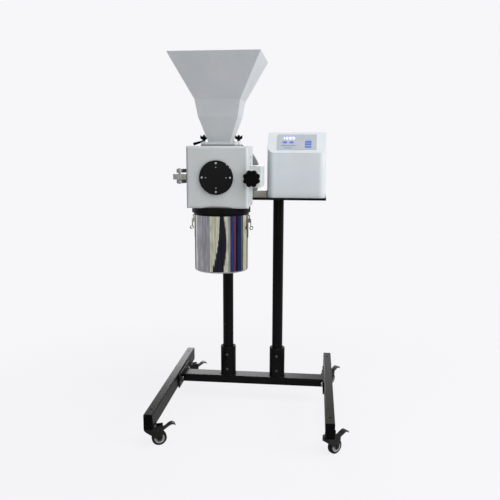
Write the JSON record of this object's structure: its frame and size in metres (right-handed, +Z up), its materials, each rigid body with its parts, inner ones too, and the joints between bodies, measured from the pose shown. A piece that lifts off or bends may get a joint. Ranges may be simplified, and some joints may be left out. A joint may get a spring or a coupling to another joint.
{
  "type": "analytical lab mill",
  "caption": "Laboratory sample mill on a wheeled stand: square hopper, hinged mill housing, collecting bucket and a separate control box.",
  "frame": {"origin": "on the floor below the middle of the whole, with all parts at rest", "axes": "+Z up, +X to the operator's right, +Y away from the operator, who faces the mill's door"},
  "size_m": [0.6746, 0.709, 1.2745],
  "materials": {
    "black_paint": "satin black powder coat",
    "caster_black": "smooth black coat",
    "black_plastic": "fine matte moulding",
    "zinc_steel": "bright zinc",
    "bare_steel": "machined or drawn steel",
    "sheet_steel": "brushed stainless sheet",
    "hopper_paint": "smooth pale grey paint",
    "gate_black": "dark coated steel",
    "white_paint": "smooth light grey paint",
    "disc_black": "satin black",
    "grey_paint": "smooth grey paint",
    "fascia": "matte printed film",
    "blue_keys": "domed keys",
    "wheel_rubber": "black rubber"
  },
  "bodies": {
    "stand": {"left_leg": "black_paint", "right_leg": "black_paint", "leg_end_caps": "black_plastic", "cross_beam": "black_paint", "column_sockets": "black_paint", "columns": "black_paint", "stand_bolts": "zinc_steel", "platform_plate": "black_paint", "caster_stems": "zinc_steel", "motor_base": "bare_steel", "motor_bracket": "grey_paint", "motor": "grey_paint", "housing": "white_paint", "grinding_liner": "bare_steel", "sieve": "bare_steel", "outlet_collar": "black_paint", "keeper_hooks": "bare_steel", "hinge_bracket": "bare_steel", "latch_block": "white_paint", "gate_frame": "black_paint", "hopper": "hopper_paint", "hopper_studs": "zinc_steel", "bearings": "bare_steel", "control_case": "white_paint", "control_panel": "fascia", "power_inlet": "black_plastic"},
    "door_leaf": {"door": "white_paint", "door_disc": "disc_black", "disc_screws": "zinc_steel", "hinge_arm": "bare_steel"},
    "clamp_knob": {"star_knob": "black_plastic"},
    "rotor": {"drive_shaft": "bare_steel", "beater_rotor": "bare_steel"},
    "gate": {"feed_gate": "gate_black", "gate_grip": "black_plastic"},
    "left_wing_knob": {"hopper_knob_left": "black_plastic"},
    "right_wing_knob": {"hopper_knob_right": "black_plastic"},
    "collecting_bucket": {"bucket": "sheet_steel", "latch_bases": "bare_steel"},
    "left_latch_lever": {"latch_lever_left": "bare_steel"},
    "left_latch_wire": {"latch_loop_left": "bare_steel"},
    "right_latch_lever": {"latch_lever_right": "bare_steel"},
    "right_latch_wire": {"latch_loop_right": "bare_steel"},
    "key_left_cap": {"key_left": "blue_keys"},
    "key_right_cap": {"key_right": "blue_keys"},
    "key_top_cap": {"key_top": "blue_keys"},
    "key_middle_cap": {"key_middle": "blue_keys"},
    "key_bottom_cap": {"key_bottom": "blue_keys"},
    "front_left_caster": {"front_left_fork": "caster_black"},
    "front_left_caster_wheel": {"front_left_wheel": "wheel_rubber"},
    "front_left_brake_pedal": {"front_left_pedal": "black_plastic"},
    "front_right_caster": {"front_right_fork": "caster_black"},
    "front_right_caster_wheel": {"front_right_wheel": "wheel_rubber"},
    "front_right_brake_pedal": {"front_right_pedal": "black_plastic"},
    "rear_left_caster": {"rear_left_fork": "caster_black"},
    "rear_left_caster_wheel": {"rear_left_wheel": "wheel_rubber"},
    "rear_left_brake_pedal": {"rear_left_pedal": "black_plastic"},
    "rear_right_caster": {"rear_right_fork": "caster_black"},
    "rear_right_caster_wheel": {"rear_right_wheel": "wheel_rubber"},
    "rear_right_brake_pedal": {"rear_right_pedal": "black_plastic"}
  },
  "joints": [
    {"name": "door_swing", "type": "hinge", "parent": "stand", "child": "door_leaf", "pos_m": [-0.23937, -0.15705, 0.882], "axis": [0, 0, -1], "range_deg": [0, 115]},
    {"name": "clamp_knob_turn", "type": "hinge", "parent": "door_leaf", "child": "clamp_knob", "pos_m": [0.00463, -0.16705, 0.878], "axis": [0, 1, 0], "range_deg": [-1080, 0]},
    {"name": "rotor_spin", "type": "hinge", "parent": "stand", "child": "rotor", "pos_m": [-0.11187, -0.01205, 0.88], "axis": [0, 1, 0], "continuous": true},
    {"name": "feed_gate_slide", "type": "slide", "parent": "stand", "child": "gate", "axis": [-1, 0, 0], "range_m": [0, 0.082]},
    {"name": "left_wing_knob_turn", "type": "hinge", "parent": "stand", "child": "left_wing_knob", "pos_m": [-0.17187, -0.06805, 1.001], "axis": [0, 0, 1], "range_deg": [0, 720]},
    {"name": "right_wing_knob_turn", "type": "hinge", "parent": "stand", "child": "right_wing_knob", "pos_m": [-0.05187, -0.06805, 1.001], "axis": [0, 0, 1], "range_deg": [0, 720]},
    {"name": "bucket_drop", "type": "slide", "parent": "stand", "child": "collecting_bucket", "axis": [0, 0, -1], "range_m": [0, 0.01]},
    {"name": "left_latch_lever_swing", "type": "hinge", "parent": "collecting_bucket", "child": "left_latch_lever", "pos_m": [-0.21037, -0.07605, 0.7337], "axis": [0, 1, 0], "range_deg": [0, 90]},
    {"name": "left_latch_wire_swing", "type": "hinge", "parent": "left_latch_lever", "child": "left_latch_wire", "pos_m": [-0.21037, -0.07605, 0.7247], "axis": [0, 1, 0], "range_deg": [-130, 0]},
    {"name": "right_latch_lever_swing", "type": "hinge", "parent": "collecting_bucket", "child": "right_latch_lever", "pos_m": [-0.01337, -0.07605, 0.7337], "axis": [0, -1, 0], "range_deg": [0, 90]},
    {"name": "right_latch_wire_swing", "type": "hinge", "parent": "right_latch_lever", "child": "right_latch_wire", "pos_m": [-0.01337, -0.07605, 0.7247], "axis": [0, -1, 0], "range_deg": [-130, 0]},
    {"name": "key_left_press", "type": "slide", "parent": "stand", "child": "key_left_cap", "axis": [0, 0.7423, -0.6701], "range_m": [0, 0.0008], "stiffness_N_per_m": 400, "springref_m": -0.0008},
    {"name": "key_right_press", "type": "slide", "parent": "stand", "child": "key_right_cap", "axis": [0, 0.7423, -0.6701], "range_m": [0, 0.0008], "stiffness_N_per_m": 400, "springref_m": -0.0008},
    {"name": "key_top_press", "type": "slide", "parent": "stand", "child": "key_top_cap", "axis": [0, 0.7423, -0.6701], "range_m": [0, 0.0008], "stiffness_N_per_m": 400, "springref_m": -0.0008},
    {"name": "key_middle_press", "type": "slide", "parent": "stand", "child": "key_middle_cap", "axis": [0, 0.7423, -0.6701], "range_m": [0, 0.0008], "stiffness_N_per_m": 400, "springref_m": -0.0008},
    {"name": "key_bottom_press", "type": "slide", "parent": "stand", "child": "key_bottom_cap", "axis": [0, 0.7423, -0.6701], "range_m": [0, 0.0008], "stiffness_N_per_m": 400, "springref_m": -0.0008},
    {"name": "front_left_swivel", "type": "hinge", "parent": "stand", "child": "front_left_caster", "pos_m": [-0.31137, -0.31005, 0.075], "axis": [0, 0, 1], "continuous": true},
    {"name": "front_left_wheel_spin", "type": "hinge", "parent": "front_left_caster", "child": "front_left_caster_wheel", "pos_m": [-0.28958, -0.30124, 0.025], "axis": [-0.3746, 0.9272, 0], "continuous": true},
    {"name": "front_left_brake_press", "type": "hinge", "parent": "front_left_caster", "child": "front_left_brake_pedal", "pos_m": [-0.2817, -0.29806, 0.0545], "axis": [-0.3746, 0.9272, 0], "range_deg": [0, 18]},
    {"name": "front_right_swivel", "type": "hinge", "parent": "stand", "child": "front_right_caster", "pos_m": [0.27263, -0.31005, 0.075], "axis": [0, 0, 1], "continuous": true},
    {"name": "front_right_wheel_spin", "type": "hinge", "parent": "front_right_caster", "child": "front_right_caster_wheel", "pos_m": [0.28982, -0.29402, 0.025], "axis": [-0.682, 0.7314, 0], "continuous": true},
    {"name": "front_right_brake_press", "type": "hinge", "parent": "front_right_caster", "child": "front_right_brake_pedal", "pos_m": [0.29604, -0.28822, 0.0545], "axis": [-0.682, 0.7314, 0], "range_deg": [-9, 9]},
    {"name": "rear_left_swivel", "type": "hinge", "parent": "stand", "child": "rear_left_caster", "pos_m": [-0.31137, 0.28595, 0.075], "axis": [0, 0, 1], "continuous": true},
    {"name": "rear_left_wheel_spin", "type": "hinge", "parent": "rear_left_caster", "child": "rear_left_caster_wheel", "pos_m": [-0.29102, 0.2977, 0.025], "axis": [-0.5, 0.866, 0], "continuous": true},
    {"name": "rear_left_brake_press", "type": "hinge", "parent": "rear_left_caster", "child": "rear_left_brake_pedal", "pos_m": [-0.28365, 0.30195, 0.0545], "axis": [-0.5, 0.866, 0], "range_deg": [-4, 14]},
    {"name": "rear_right_swivel", "type": "hinge", "parent": "stand", "child": "rear_right_caster", "pos_m": [0.27263, 0.28595, 0.075], "axis": [0, 0, 1], "continuous": true},
    {"name": "rear_right_wheel_spin", "type": "hinge", "parent": "rear_right_caster", "child": "rear_right_caster_wheel", "pos_m": [0.2871, 0.30447, 0.025], "axis": [-0.788, 0.6157, 0], "continuous": true},
    {"name": "rear_right_brake_press", "type": "hinge", "parent": "rear_right_caster", "child": "rear_right_brake_pedal", "pos_m": [0.29234, 0.31117, 0.0545], "axis": [-0.788, 0.6157, 0], "range_deg": [-10, 8]}
  ],
  "couplings": [
    {"joint": "left_latch_lever_swing", "follows": "bucket_drop", "rad_per_m": 157.08},
    {"joint": "left_latch_wire_swing", "follows": "bucket_drop", "rad_per_m": -226.89},
    {"joint": "right_latch_lever_swing", "follows": "bucket_drop", "rad_per_m": 157.08},
    {"joint": "right_latch_wire_swing", "follows": "bucket_drop", "rad_per_m": -226.89}
  ]
}
